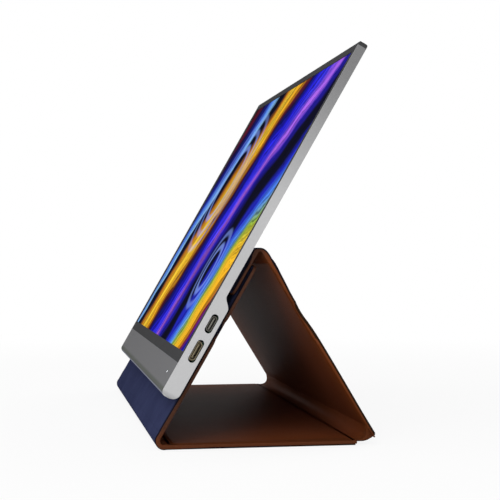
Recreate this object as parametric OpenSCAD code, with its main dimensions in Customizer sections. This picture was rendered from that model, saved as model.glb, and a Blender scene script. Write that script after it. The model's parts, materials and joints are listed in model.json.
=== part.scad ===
// Portable monitor standing on its folded cover.
//
// The cover is four stiffened panels in one strip: a base panel on the table, a rest panel
// that carries the monitor, a prop panel behind it, and a short tuck flap that folds over the
// prop's top edge into the gap between the slim part of the monitor and the rest panel.
// +X runs along the folds, +Y to the back, +Z up; the origin is the middle of the base
// panel's underside.

/* [Monitor] */
// Width of the monitor, along the folds
mon_w = 359.7; // [354:0.1:380]
// Height of the monitor, measured up its slope
mon_h = 226.4; // [224:0.1:240]
// Depth of the slim upper part
slim_t = 5.3; // [5:0.1:6.5]
// Depth of the deep lower part that holds the electronics
deep_t = 9.8; // [9.4:0.1:12]
// Height of the deep part, up to where its back starts to step in
deep_h = 57.5; // [56:0.5:66]
// Run of the S-shaped step between the two depths
step_run = 7.3; // [4:0.1:9]
// Wall of the metal housing
wall = 1.1; // [0.9:0.05:1.2]
// Thickness of the two side rails
rail_t = 1.2; // [0.8:0.1:1.6]
// Radius of the bottom end on the screen side
toe_r = 3.2; // [2:0.1:4]
// Radius of the bottom end on the back
heel_r = 5; // [3:0.1:5.2]
// Radius of the four corners, seen from the front
corner_r = 3.5; // [2:0.1:6]
// Length of the dark cap that closes the top end
cap_h = 3; // [2.2:0.1:3.3]
// Edge radius of that cap
cap_r = 1.5; // [0.6:0.1:2]

/* [Screen] */
// Bezel at each side of the picture
side_bezel = 7.75; // [7:0.05:12]
// Bezel above the picture
top_bezel = 6.5; // [6.3:0.1:9]
// Dark strip between the picture and the chin panel
strip_h = 6.7; // [6.4:0.1:9]
// Height of the grey chin panel
chin_h = 19.6; // [17:0.1:22]
// Thickness of the chin panel
chin_t = 1.2; // [0.8:0.1:1.6]
// Thickness of the front bezel
bezel_t = 0.5; // [0.4:0.05:0.6]
// Thickness of the liquid crystal cell
cell_t = 1.1; // [0.9:0.05:1.2]
// How far the cell runs under the bezel at the sides and top
cell_lip = 2.9; // [2:0.1:3]
// How far the cell runs below the picture
cell_ledge = 6; // [5:0.1:6.2]
// Thickness of the diffuser and prism films
film_t = 0.4; // [0.3:0.05:0.5]
// Thickness of the light guide
guide_t = 1.2; // [0.9:0.05:1.25]
// Thickness of the reflector
mirror_t = 0.2; // [0.15:0.05:0.25]
// Thickness of the steel tray behind the backlight
tray_t = 0.3; // [0.2:0.05:0.35]

/* [Sockets and keys] */
// Depth of the socket and key axes behind the screen face
socket_d = 5.5; // [5.45:0.05:5.6]
// Height of the USB-C socket above the monitor's bottom end
usb_s = 47.2; // [46:0.1:49]
// Length of the USB-C cut-out in the side rail
usb_cut_l = 11.5; // [10:0.1:12.5]
// Height of the mini HDMI socket above the monitor's bottom end
hdmi_s = 29.9; // [27:0.1:31]
// Length of the mini HDMI cut-out in the side rail
hdmi_cut_l = 13.8; // [12.4:0.1:15]
// Width of both cut-outs
cut_w = 4.2; // [3.6:0.1:4.8]
// Height of the earphone socket above the monitor's bottom end
jack_s = 12.6; // [11.5:0.1:13]
// Bore radius of the earphone socket
jack_r = 1.8; // [1.76:0.01:1.82]
// Outer radius of the earphone socket's barrel
jack_barrel_r = 2.4; // [2.3:0.05:2.45]
// Height of the lowest key above the monitor's bottom end
key_s = 24; // [23:0.1:25]
// Distance from key to key
key_pitch = 8.5; // [7.9:0.1:8.8]
// Length of a key
key_l = 6; // [4:0.1:6.4]
// Width of a key
key_w = 1.9; // [1.4:0.1:2.2]
// How far a key stands out of the rail
key_proud = 0.35; // [0.2:0.05:0.6]
// Travel of a key
key_travel = 0.4; // [0.2:0.05:0.5]

/* [Cover] */
// Width of the cover
cover_w = 352; // [300:0.5:356]
// Distance between the front and rear folds
base_pitch = 122; // [118:0.1:126]
// Height of the tuck flap, from the top fold to its free edge
flap_len = 29; // [26:0.1:32]
// Distance from the monitor's step up to the tuck flap's free edge
flap_end_gap = 2.2; // [1.5:0.01:5]
// Distance from the rest panel's free edge up to the top fold
apex_gap = 8.5; // [7:0.1:12]
// Distance from the front fold up the rest panel to the monitor's bottom end
monitor_margin = 25; // [20:0.1:27]
// Thickness of the leather
leather_t = 0.6; // [0.5:0.05:0.8]
// Thickness of the stiffening boards
board_t = 2; // [1.6:0.05:2.3]
// Thickness of the microfibre lining
lining_t = 0.5; // [0.4:0.05:0.6]
// Width of the flat hem around each board
hem_w = 3; // [2:0.1:4]
// How far the hem lies below the face over the board
hem_drop = 0.4; // [0.2:0.05:0.5]
// How far the leather dips where it has no board
web_drop = 1.4; // [1.1:0.05:1.6]
// Corner radius of the padded areas
pad_r = 5.5; // [4:0.1:8]
// How far a crease or fold is drawn in at each side
notch = 3; // [1:0.1:5]
// Distance from a fold to the padded area
fold_margin = 5; // [4:0.1:7]
// Distance from the rear fold to the base's padded area
rear_margin = 10; // [8:0.1:14]
// Distance from the rear fold to the pad on the prop panel
prop_margin = 1; // [0.8:0.1:7]
// Height of the rest panel's crease above the front fold
rest_crease_at = 66.5; // [62:0.1:70]
// Width of the rest panel's crease
rest_crease_w = 9.5; // [6:0.1:12]
// Distance of the prop panel's crease from the rear fold
prop_crease_at = 67; // [62:0.1:70]
// Width of the prop panel's crease
prop_crease_w = 19; // [12:0.1:22]
// Depth of a crease's dip on the lining side
crease_dip = 1.1; // [0.8:0.05:1.2]
// Length of each sloping side of that dip
crease_slope = 3; // [2:0.1:3]
// Radius of the holding magnets
magnet_r = 5; // [4:0.1:6]

/* [Stand] */
// Lean of the screen above the table at rest
lean = 60; // [56:0.5:64]
// Clearance between the rest panel and the monitor
seat_gap = 0.3; // [0.2:0.05:0.5]
// Clearance between the rest panel and the tuck flap
slide_gap = 0.4; // [0.3:0.05:0.6]
// Running clearance around each fold
fold_gap = 0.3; // [0.2:0.05:0.6]

/* [Hidden] */
$fn = 48;

// Colours
silver = [0.78, 0.78, 0.80];
dark_bezel = [0.16, 0.16, 0.17];
chin_grey = [0.42, 0.42, 0.44];
picture_blue = [0.12, 0.16, 0.55];
clear_white = [0.88, 0.90, 0.92];
steel = [0.62, 0.63, 0.65];
tape_grey = [0.35, 0.35, 0.36];
solder_green = [0.05, 0.30, 0.16];
flex_amber = [0.72, 0.42, 0.10];
leather_brown = [0.30, 0.15, 0.07];
lining_navy = [0.18, 0.19, 0.32];
fibre_tan = [0.55, 0.45, 0.33];
magnet_grey = [0.70, 0.70, 0.72];

// Monitor
step_n = 12;
arc_n = 8;
eps = 0.01;
inner_w = mon_w - 2 * rail_t;
inner_r = max(corner_r - rail_t, 0.5);
pic_w = mon_w - 2 * side_bezel;
pic_s = chin_h + strip_h;
pic_top = mon_h - top_bezel;
cell_w = pic_w + 2 * cell_lip;
cell_s = pic_s - cell_ledge;
cell_top = pic_top + cell_lip;
film_d = bezel_t + cell_t;
guide_d = film_d + film_t;
mirror_d = guide_d + guide_t;
tray_d = mirror_d + mirror_t;
stack_d = tray_d + tray_t;
slim_floor = slim_t - wall;
deep_floor = deep_t - wall;
led_h = 3;
light_gap = 0.2;
skirt_w = 1;
skirt_d = 1.6;

// Circuit boards
pcb_t = 1;
key_pcb_t = 0.8;
socket_h = 3.2;
pcb_d = socket_d + socket_h / 2;
pcb_l = 82.2;
pcb_end_gap = 5.8;
pcb_below = 21;
pcb_above = 7.6;
pcb_x = [mon_w / 2 - pcb_end_gap - pcb_l, mon_w / 2 - pcb_end_gap];
pcb_s = [hdmi_s - pcb_below, usb_s + pcb_above];
screw_r = 0.8;
screw_gap = 0.05;
screw_play = 0.2;
screw_inset = 4.5;
screw_far = 22;
boss_r = 2;
head_r = 1.7;
head_t = 0.7;
socket_recess = 0.5;
usb_w = 9;
usb_len = 7.3;
hdmi_w = 11.2;
hdmi_len = 7.6;
shell_t = 0.3;
jack_len = 13;
jack_body_gap = 0.1;
jack_body_end = 1;
jack_clear = 0.1;
barrel_gap = 0.05;
barrel_l = 3;
cradle_gap = 2;
lens_r = 0.6;
lens_edge = 24.9;
lens_x = mon_w / 2 - lens_edge;
lens_s = 12;
lens_gap = 0.05;
light_l = 1.6;
light_w = 0.8;
light_h = 0.5;
flex_t = 0.2;
plate_t = 0.5;

// Keys on the left rail
key_n = 4;
key_pcb_gap = 1.5;
key_pcb_w = 12.5;
key_pcb_above = 5;
key_screw_inset = 3;
key_flange = 0.8;
key_flange_t = 0.6;
key_gap = 0.15;
switch_gap = 0.1;
switch_x = -inner_w / 2 + key_gap + key_flange_t + key_travel + switch_gap;
switch_l = 3.6;
switch_w = 4;
switch_h = 2.8;
plunger_l = 1;
plunger_w = 1.6;
plunger_h = 1.4;

// Cover
panel_t = leather_t + board_t + lining_t;
spine_r = panel_t;
spine_gap = 0.05;
clear_r = spine_r + fold_gap;
web_w = cover_w - 2 * notch;
lining_z = leather_t + board_t;
// The flap ends above the monitor's step, which sets how far up the rest panel the top fold lies,
// and with it the lengths of the rest and prop panels
flap_offset = panel_t + slide_gap;
top_fold_s = monitor_margin + deep_h + step_run + flap_end_gap + flap_len;
rest_len = top_fold_s - apex_gap;
prop_rise = flap_offset + base_pitch * sin(lean);
prop_run = top_fold_s - base_pitch * cos(lean);
prop_pitch = norm([prop_run, prop_rise]);
prop_dir = lean + atan2(prop_rise, prop_run);

// Frames: each has y along the panel away from its fold
module in_base_panel() {
    translate([0, -base_pitch / 2, panel_t]) rotate([0, 180, 0]) children();
}

module in_rest_panel() {
    translate([0, -base_pitch / 2, panel_t]) rotate([lean, 0, 0]) children();
}

module in_prop_panel() {
    translate([0, base_pitch / 2, panel_t]) rotate([prop_dir, 0, 0]) rotate([0, 180, 0]) children();
}

module in_flap() {
    in_rest_panel()
        translate([0, top_fold_s, flap_offset]) rotate([0, 0, 180]) children();
}

// The monitor's frame has y up the screen, z out of the screen face and the bottom end at y = 0
module in_monitor() {
    in_rest_panel() translate([0, monitor_margin, panel_t + seat_gap + deep_t]) children();
}

// ---- shared shapes ----

// A flat shape whose x is the panel's y and whose y is the panel's z, drawn out along the folds
module along_x(w) {
    rotate([90, 0, 90]) linear_extrude(w, center = true) children();
}

// The same, starting at x and going w towards the right
module from_x(x, w) {
    translate([x, 0, 0]) rotate([90, 0, 90]) linear_extrude(w) children();
}

// A block centred on x = 0, between two heights and two depths
module block(w, s0, s1, z0, z1) {
    translate([-w / 2, s0, z0]) cube([w, s1 - s0, z1 - z0]);
}

// A block between two places along x
module bar(x0, x1, s0, s1, z0, z1) {
    translate([x0, s0, z0]) cube([x1 - x0, s1 - s0, z1 - z0]);
}

// A rectangle with round corners, centred on x = 0
module rounded(w, s0, s1, r) {
    translate([-w / 2 + r, s0]) square([w - 2 * r, s1 - s0]);
    translate([-w / 2, s0 + r]) square([w, s1 - s0 - 2 * r]);
    for (x = [-w / 2 + r, w / 2 - r], y = [s0 + r, s1 - r]) translate([x, y]) circle(r);
}

// A slot with round ends, its length along the first axis
module slot(l, w) {
    square([l - w, w], center = true);
    for (x = [-1, 1]) translate([x * (l - w) / 2, 0]) circle(w / 2);
}

function arc(cx, cy, r, a0, a1) = [
    for (i = [0:arc_n]) let (a = a0 + (a1 - a0) * i / arc_n) [cx + r * cos(a), cy + r * sin(a)]
];

// Side outline of the monitor, drawn in by inset on all sides but the screen face
function side_outline(inset) = concat(
    arc(toe_r, -toe_r, toe_r - inset, 90, 180),
    arc(heel_r, heel_r - deep_t, heel_r - inset, 180, 270),
    [for (i = [0:step_n])
        [deep_h + step_run * i / step_n,
         inset - deep_t + (deep_t - slim_t) * (1 - cos(180 * i / step_n)) / 2]],
    arc(mon_h - cap_r, cap_r - slim_t, cap_r - inset, 270, 360),
    arc(mon_h - cap_r, -cap_r, cap_r - inset, 0, 90)
);

// ---- monitor: shell ----

module trimmed_to_outline() {
    intersection() {
        children();
        translate([0, 0, -deep_t - 1]) linear_extrude(deep_t + 2) rounded(mon_w, 0, mon_h, corner_r);
    }
}

// The space between the rails, with its lower corners rounded at height s0
module between_rails(z0, z1, s0 = 0) {
    translate([0, 0, z0]) linear_extrude(z1 - z0) rounded(inner_w, s0, mon_h + corner_r, inner_r);
}

module right_cuts() {
    from_x(inner_w / 2 - 1, rail_t + 2) {
        translate([usb_s, -socket_d]) slot(usb_cut_l, cut_w);
        translate([hdmi_s, -socket_d]) slot(hdmi_cut_l, cut_w);
    }
}

module left_cuts() {
    from_x(-mon_w / 2 - 1, rail_t + 2) {
        for (i = [0:key_n - 1])
            translate([key_s + i * key_pitch, -socket_d])
                slot(key_l + 2 * key_gap, key_w + 2 * key_gap);
    }
    translate([-mon_w / 2 - 1, jack_s, -socket_d])
        rotate([0, 90, 0]) cylinder(h = rail_t + 1, r = jack_barrel_r + barrel_gap);
}

main_screws = [
    [pcb_x[0] + screw_inset, pcb_s[0] + screw_inset],
    [pcb_x[0] + screw_inset, pcb_s[1] - screw_inset],
    [pcb_x[1] - screw_far, pcb_s[0] + screw_inset]
];
key_pcb_x = [-inner_w / 2 + key_pcb_gap, -inner_w / 2 + key_pcb_gap + key_pcb_w];
key_pcb_s = [jack_s + jack_barrel_r + jack_clear, key_s + (key_n - 1) * key_pitch + key_pcb_above];
key_screws = [
    [key_pcb_x[1] - key_screw_inset, key_pcb_s[0] + screw_inset],
    [key_pcb_x[1] - key_screw_inset, key_pcb_s[1] - screw_inset]
];

module boss(p, top_d) {
    translate([p[0], p[1], -deep_floor]) cylinder(h = deep_floor - top_d, r = boss_r);
}

module boss_hole(p) {
    translate([p[0], p[1], -deep_floor - wall / 2]) cylinder(h = deep_t, r = screw_r + screw_gap);
}

module rear_housing() color(silver) in_monitor() {
    difference() {
        union() {
            difference() {
                trimmed_to_outline() along_x(mon_w) polygon(side_outline(0));
                intersection() {
                    along_x(inner_w) polygon(side_outline(wall));
                    between_rails(-deep_t, 1);
                }
                between_rails(-toe_r, 1, -corner_r);
                block(mon_w + 2, mon_h - cap_h, mon_h + 1, -deep_t - 1, 1);
            }
            for (p = main_screws) boss(p, pcb_d + pcb_t);
            for (p = key_screws) boss(p, pcb_d + key_pcb_t);
            bar(-inner_w / 2 + cradle_gap, -mon_w / 2 + jack_len, jack_s - jack_barrel_r,
                jack_s + jack_barrel_r, -deep_floor, -socket_d - jack_barrel_r);
        }
        right_cuts();
        left_cuts();
        for (p = concat(main_screws, key_screws)) boss_hole(p);
    }
}

module front_bezel() color(dark_bezel) in_monitor() {
    // The plate around the picture, with the cap that closes the top end
    difference() {
        block(inner_w, chin_h, mon_h - cap_h, -bezel_t, 0);
        block(pic_w, pic_s, pic_top, -bezel_t - 1, 1);
    }
    trimmed_to_outline() intersection() {
        along_x(mon_w) polygon(side_outline(0));
        block(mon_w, mon_h - cap_h, mon_h, -slim_t, 0);
    }
    for (side = [-1, 1])
        translate([side * (inner_w - skirt_w) / 2, 0, 0])
            block(skirt_w, chin_h, mon_h - cap_h, -bezel_t - skirt_d, -bezel_t);
}

module chin_panel() color(chin_grey) in_monitor() {
    difference() {
        trimmed_to_outline() along_x(inner_w) polygon(concat(
            [[chin_h, 0]],
            arc(toe_r, -toe_r, toe_r, 90, 180),
            arc(toe_r, -toe_r, toe_r - chin_t, 180, 90),
            [[chin_h, -chin_t]]
        ));
        translate([lens_x, lens_s, -chin_t - 1]) cylinder(h = chin_t + 2, r = lens_r + lens_gap);
    }
}

// ---- monitor: panel module ----

module lcd_cell() color(picture_blue) in_monitor()
    block(cell_w, cell_s, cell_top, -film_d, -bezel_t);

tray_play = 0.1;
tray_in = tray_t + tray_play;

module optical_films() color(clear_white) in_monitor()
    block(cell_w - 2 * tray_in, cell_s + tray_in, cell_top - tray_in, -guide_d, -film_d);

module light_guide() color([0.80, 0.88, 0.90]) in_monitor()
    block(cell_w - 2 * tray_in, cell_s + tray_in + led_h + light_gap, cell_top - tray_in,
        -mirror_d, -guide_d);

module reflector_film() color(clear_white) in_monitor()
    block(cell_w - 2 * tray_in, cell_s + tray_in, cell_top - tray_in, -tray_d, -mirror_d);

module led_bar() color([0.95, 0.93, 0.75]) in_monitor() {
    led_n = 36;
    led_w = 3;
    led_inset = 5;
    strip = 1;
    block(cell_w - 2 * tray_in, cell_s + tray_in, cell_s + tray_in + strip, -mirror_d, -guide_d);
    for (i = [0:led_n - 1])
        translate([(i - (led_n - 1) / 2) * (cell_w - 2 * led_inset) / led_n, 0, 0])
            block(led_w, cell_s + tray_in + strip, cell_s + tray_in + led_h,
                -mirror_d, -guide_d);
}

module panel_tray() color(steel) in_monitor()
    difference() {
        block(cell_w, cell_s, cell_top, -stack_d, -film_d);
        block(cell_w - 2 * tray_t, cell_s + tray_t, cell_top - tray_t, -tray_d, 1);
    }

module panel_tapes() color(tape_grey) in_monitor() {
    tape_w = 8;
    tape_low = 3;
    tape_high = 10;
    for (x = [-1, 0, 1] * cell_w / 3)
        bar(x - tape_w / 2, x + tape_w / 2, deep_h + step_run + tape_low, cell_top - tape_high,
            -slim_floor, -stack_d);
}

// ---- monitor: electronics ----

driver_l = 172;
driver_w = 12;
driver_gap = 4;
driver_rise = 2;
driver_x = [pcb_x[0] - driver_gap - driver_l, pcb_x[0] - driver_gap];
driver_s = [cell_s + driver_rise, cell_s + driver_rise + driver_w];
driver_t = 0.8;
driver_rear = stack_d + driver_t;
chip_n = 3;
chip_l = 9;
chip_w = 7;
chip_h = 0.8;
chip_pitch = 40;

module driver_board() color(solder_green) in_monitor() {
    bar(driver_x[0], driver_x[1], driver_s[0], driver_s[1], -driver_rear, -stack_d);
    for (i = [1:chip_n])
        translate([driver_x[0] + i * chip_pitch, 0, 0])
            block(chip_l, driver_s[0] + (driver_w - chip_w) / 2, driver_s[1] - (driver_w - chip_w) / 2,
                -driver_rear - chip_h, -driver_rear);
}

// A ribbon that lies on the driver board's back and steps down to the main board's face
module panel_flex() color(flex_amber) in_monitor() {
    ribbon_w = 9;
    lap = 10;
    land = 1;
    on_driver = driver_x[1] - lap;
    on_main = pcb_x[0] + lap;
    translate([0, driver_s[1] - land, 0]) rotate([90, 0, 0]) linear_extrude(ribbon_w) polygon([
        [on_driver, -driver_rear], [driver_x[1], -driver_rear],
        [pcb_x[0] + land, -pcb_d + flex_t], [on_main, -pcb_d + flex_t],
        [on_main, -pcb_d], [pcb_x[0] + land - flex_t / 2, -pcb_d],
        [driver_x[1] - flex_t / 2, -driver_rear - flex_t], [on_driver, -driver_rear - flex_t]
    ]);
}

can_l = 36;
can_at = 22;
can_low = 12;
can_high = 8;
can_h = 2.2;
can_t = 0.3;
can_x = [pcb_x[0] + can_at, pcb_x[0] + can_at + can_l];
can_s = [pcb_s[0] + can_low, pcb_s[1] - can_high];
part_gap = 4;
scaler_l = 14;
scaler_h = 1.2;
memory_l = 9;
memory_h = 1;
coil_l = 6;
coil_h = 2;
cap_can_r = 1.4;
cap_can_h = 1.6;
cap_can_pitch = 3.6;

module main_board() color(solder_green) in_monitor() {
    difference() {
        bar(pcb_x[0], pcb_x[1], pcb_s[0], pcb_s[1], -pcb_d - pcb_t, -pcb_d);
        for (p = main_screws)
            translate([p[0], p[1], -deep_t]) cylinder(h = deep_t, r = screw_r + screw_play);
    }
    // Scaler chip and memory under the can, inductor and capacitors beside it
    memory_x = can_x[0] + 2 * part_gap + scaler_l;
    coil_x = can_x[1] + part_gap;
    bar(can_x[0] + part_gap, can_x[0] + part_gap + scaler_l,
        can_s[0] + part_gap, can_s[0] + part_gap + scaler_l, -pcb_d, -pcb_d + scaler_h);
    bar(memory_x, memory_x + memory_l, can_s[0] + part_gap, can_s[0] + part_gap + memory_l,
        -pcb_d, -pcb_d + memory_h);
    bar(coil_x, coil_x + coil_l, can_s[0], can_s[0] + coil_l, -pcb_d, -pcb_d + coil_h);
    for (i = [0:2])
        translate([coil_x + i * cap_can_pitch, can_s[0] + coil_l + part_gap, -pcb_d])
            cylinder(h = cap_can_h, r = cap_can_r);
    // Light for the status lens
    translate([lens_x, 0, 0])
        block(light_l, lens_s - light_w / 2, lens_s + light_w / 2, -pcb_d, -pcb_d + light_h);
}

module shield_can() color(steel) in_monitor()
    difference() {
        bar(can_x[0], can_x[1], can_s[0], can_s[1], -pcb_d, -pcb_d + can_h);
        bar(can_x[0] + can_t, can_x[1] - can_t, can_s[0] + can_t, can_s[1] - can_t, -pcb_d - 1,
            -pcb_d + can_h - can_t);
    }

module screw(p, d) {
    translate([p[0], p[1], -d]) cylinder(h = head_t, r = head_r);
    translate([p[0], p[1], -deep_floor - wall / 3]) cylinder(h = deep_floor + wall / 3 - d, r = screw_r);
}

module board_screws() color(steel) in_monitor() {
    for (p = main_screws) screw(p, pcb_d);
    for (p = key_screws) screw(p, pcb_d);
}

module usb_c_socket() color(steel) in_monitor() {
    mouth = mon_w / 2 - socket_recess;
    tongue_w = 6.6;
    tongue_t = 0.7;
    tongue_back = 1.2;
    difference() {
        from_x(mouth - usb_len, usb_len) translate([usb_s, -socket_d]) slot(usb_w, socket_h);
        from_x(mouth - usb_len + shell_t, usb_len) translate([usb_s, -socket_d])
            slot(usb_w - 2 * shell_t, socket_h - 2 * shell_t);
    }
    bar(mouth - usb_len, mouth - tongue_back, usb_s - tongue_w / 2, usb_s + tongue_w / 2,
        -socket_d - tongue_t / 2, -socket_d + tongue_t / 2);
}

// A flat-topped shell whose lower corners slope in
function hdmi_outline(inset) = let (
    slope = 1.1, slope_h = 1.36, h = socket_h / 2 - inset, wide = hdmi_w / 2 - inset,
    narrow = wide - slope + inset * (sqrt(2) - 1), knee = slope_h - h
) [[-wide, h], [wide, h], [wide, knee], [narrow, -h], [-narrow, -h], [-wide, knee]];

module mini_hdmi_socket() color(steel) in_monitor() {
    mouth = mon_w / 2 - socket_recess;
    tongue_w = 8;
    tongue_t = 0.6;
    tongue_rise = 0.4;
    tongue_back = 1;
    difference() {
        from_x(mouth - hdmi_len, hdmi_len) translate([hdmi_s, -socket_d]) polygon(hdmi_outline(0));
        from_x(mouth - hdmi_len + shell_t, hdmi_len) translate([hdmi_s, -socket_d])
            polygon(hdmi_outline(shell_t));
    }
    bar(mouth - hdmi_len, mouth - tongue_back, hdmi_s - tongue_w / 2, hdmi_s + tongue_w / 2,
        -socket_d + tongue_rise - tongue_t / 2, -socket_d + tongue_rise + tongue_t / 2);
}

module earphone_socket() color(dark_bezel) in_monitor() {
    difference() {
        union() {
            translate([-mon_w / 2, jack_s, -socket_d])
                rotate([0, 90, 0]) cylinder(h = barrel_l, r = jack_barrel_r);
            bar(-inner_w / 2 + jack_body_gap, -mon_w / 2 + jack_len + jack_body_end,
                jack_s - jack_barrel_r, jack_s + jack_barrel_r,
                -socket_d - jack_barrel_r, -socket_d + jack_barrel_r);
        }
        translate([-mon_w / 2 - 1, jack_s, -socket_d]) rotate([0, 90, 0]) cylinder(h = jack_len + 1, r = jack_r);
    }
}

module status_lens() color("white") in_monitor() {
    foot = pcb_d - light_h - lens_gap;
    translate([lens_x, lens_s, -foot]) cylinder(h = foot, r = lens_r);
}

module key_board() color(solder_green) in_monitor() {
    difference() {
        bar(key_pcb_x[0], key_pcb_x[1], key_pcb_s[0], key_pcb_s[1], -pcb_d - key_pcb_t, -pcb_d);
        for (p = key_screws)
            translate([p[0], p[1], -deep_t]) cylinder(h = deep_t, r = screw_r + screw_play);
    }
    for (i = [0:key_n - 1]) translate([0, key_s + i * key_pitch, 0]) {
        bar(switch_x, switch_x + plunger_l, -plunger_w / 2, plunger_w / 2,
            -socket_d - plunger_h / 2, -socket_d + plunger_h / 2);
        bar(switch_x + plunger_l, switch_x + switch_l, -switch_w / 2, switch_w / 2,
            -pcb_d, -pcb_d + switch_h);
    }
}

module key_flex() color(flex_amber) in_monitor() {
    lap = 6;
    ribbon_w = 8;
    bar(key_pcb_x[1] - lap, pcb_x[0] + lap, hdmi_s, hdmi_s + ribbon_w,
        -pcb_d - pcb_t - flex_t, -pcb_d - pcb_t);
}

plate_s = [8, 26];
plate_x = 60;
plate_w = 40;

module latch_plates() color(steel) in_monitor()
    for (side = [-1, 1])
        translate([side * plate_x, 0, 0])
            block(plate_w, plate_s[0], plate_s[1], -deep_floor, -deep_floor + plate_t);

// Key i counts up from the lowest
module key(i) in_monitor() {
    base_x = -inner_w / 2 + key_gap;
    from_x(-mon_w / 2 - key_proud, base_x + mon_w / 2 + key_proud + eps)
        translate([key_s + i * key_pitch, -socket_d]) slot(key_l, key_w);
    from_x(base_x, key_flange_t) translate([key_s + i * key_pitch, -socket_d])
        slot(key_l + 2 * key_flange, key_w + 2 * key_flange);
}

module power_key() color(dark_bezel) key(3);
module menu_key() color(dark_bezel) key(2);
module up_key() color(dark_bezel) key(1);
module down_key() color(dark_bezel) key(0);

// ---- cover: panels ----
// A pad is the stiff padded area over one board, given by its two ends along the panel

base_pads = [[fold_margin, base_pitch - rear_margin]];
rest_pads = [[fold_margin, rest_crease_at], [rest_crease_at + rest_crease_w, rest_len]];
prop_pads = [[prop_margin, prop_crease_at], [prop_crease_at + prop_crease_w, prop_pitch - fold_margin]];
flap_pads = [[fold_margin, flap_len]];
board_inset = hem_w + leather_t;

module pad(p, inset) {
    rounded(cover_w - 2 * inset, p[0] + inset, p[1] - inset, max(pad_r - inset, 1));
}

// What has no pad: the soft stretches beside the folds, without the crease between two pads
module web(pads, s1) {
    crease = len(pads) > 1 ? [pads[0][1], pads[1][0]] : [s1, s1];
    for (s = [[0, crease[0]], [crease[1], s1]])
        if (s[1] > s[0]) translate([-web_w / 2, s[0]]) square([web_w, s[1] - s[0]]);
}

// One layer of the crease between a panel's pads, from z0 to z1 at its ends; its sides slope down by the dips
module crease(pads, z0, z1, dip0, dip1) {
    ends = [pads[0][1], pads[1][0]];
    middle = [ends[0] + crease_slope, ends[1] - crease_slope];
    rotate([90, 0, 90]) linear_extrude(web_w, center = true) polygon([
        [ends[0], z0], [middle[0], z0 - dip0], [middle[1], z0 - dip0], [ends[1], z0],
        [ends[1], z1], [middle[1], z1 - dip1], [middle[0], z1 - dip1], [ends[0], z1]
    ]);
}

// Room for a fold whose axis is at height s; own is true where the fold strip rides here
module fold_room(s, own) {
    translate([0, s, 0]) rotate([0, 90, 0])
        cylinder(h = cover_w + 2, r = own ? spine_r + spine_gap : clear_r, center = true);
}

module leather(pads, web_top) {
    if (len(pads) > 1) crease(pads, hem_drop, lining_z, 0, crease_dip);
    difference() {
        union() {
            translate([0, 0, web_drop]) linear_extrude(lining_z - web_drop) web(pads, web_top);
            for (p = pads) {
                translate([0, 0, hem_drop]) linear_extrude(lining_z - hem_drop) pad(p, 0);
                linear_extrude(leather_t) pad(p, hem_w);
            }
        }
        for (p = pads) translate([0, 0, leather_t]) linear_extrude(panel_t) pad(p, board_inset);
    }
}

module lining(pads, web_top) {
    if (len(pads) > 1) crease(pads, lining_z, panel_t, crease_dip, crease_dip);
    translate([0, 0, lining_z]) linear_extrude(lining_t) {
        web(pads, web_top);
        for (p = pads) pad(p, 0);
    }
}

module board(p) {
    translate([0, 0, leather_t]) linear_extrude(board_t) pad(p, board_inset);
}

module magnet(x, s, r) {
    translate([x, s, leather_t]) cylinder(h = board_t, r = r);
}

module base_leather() color(leather_brown) in_base_panel() difference() {
    leather(base_pads, base_pitch);
    fold_room(0, true);
    fold_room(base_pitch, true);
}

module base_lining() color(lining_navy) in_base_panel() difference() {
    lining(base_pads, base_pitch);
    fold_room(0, true);
    fold_room(base_pitch, true);
}

module base_board() color(fibre_tan) in_base_panel() board(base_pads[0]);

module rest_leather() color(leather_brown) in_rest_panel() difference() {
    leather(rest_pads, rest_pads[1][0] + pad_r);
    fold_room(0, false);
}

module rest_lining() color(lining_navy) in_rest_panel() difference() {
    lining(rest_pads, rest_pads[1][0] + pad_r);
    fold_room(0, false);
}

// The lower magnets hold the monitor's latch plates, the upper ones the tuck flap
latch_s = monitor_margin + (plate_s[0] + plate_s[1]) / 2;
magnet_edge = 1;
magnet_gap = 0.05;
flap_magnet_s = flap_len - board_inset - magnet_r - magnet_edge;
flap_magnet_x = 120;
lower_magnets = [for (x = [-1, 1] * plate_x) [x, latch_s]];
upper_magnets = [for (x = [-1, 1] * flap_magnet_x) [x, top_fold_s - flap_magnet_s]];

module rest_lower_board() color(fibre_tan) in_rest_panel() difference() {
    board(rest_pads[0]);
    for (m = lower_magnets) magnet(m[0], m[1], magnet_r + magnet_gap);
}

module rest_upper_board() color(fibre_tan) in_rest_panel() difference() {
    board(rest_pads[1]);
    for (m = upper_magnets) magnet(m[0], m[1], magnet_r + magnet_gap);
}

module rest_magnets() color(magnet_grey) in_rest_panel()
    for (m = concat(lower_magnets, upper_magnets)) magnet(m[0], m[1], magnet_r);

module prop_leather() color(leather_brown) in_prop_panel() difference() {
    leather(prop_pads, prop_pitch);
    fold_room(0, false);
    fold_room(prop_pitch, true);
}

module prop_lining() color(lining_navy) in_prop_panel() difference() {
    lining(prop_pads, prop_pitch);
    fold_room(0, false);
    fold_room(prop_pitch, true);
}

module prop_lower_board() color(fibre_tan) in_prop_panel() board(prop_pads[0]);
module prop_upper_board() color(fibre_tan) in_prop_panel() board(prop_pads[1]);

module flap_leather() color(leather_brown) in_flap() difference() {
    leather(flap_pads, flap_pads[0][0] + pad_r);
    fold_room(0, false);
}

module flap_lining() color(lining_navy) in_flap() difference() {
    lining(flap_pads, flap_pads[0][0] + pad_r);
    fold_room(0, false);
}

module flap_board() color(fibre_tan) in_flap() difference() {
    board(flap_pads[0]);
    for (x = [-1, 1] * flap_magnet_x) magnet(x, flap_magnet_s, magnet_r + magnet_gap);
}

module flap_magnets() color(magnet_grey) in_flap()
    for (x = [-1, 1] * flap_magnet_x) magnet(x, flap_magnet_s, magnet_r);

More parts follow.
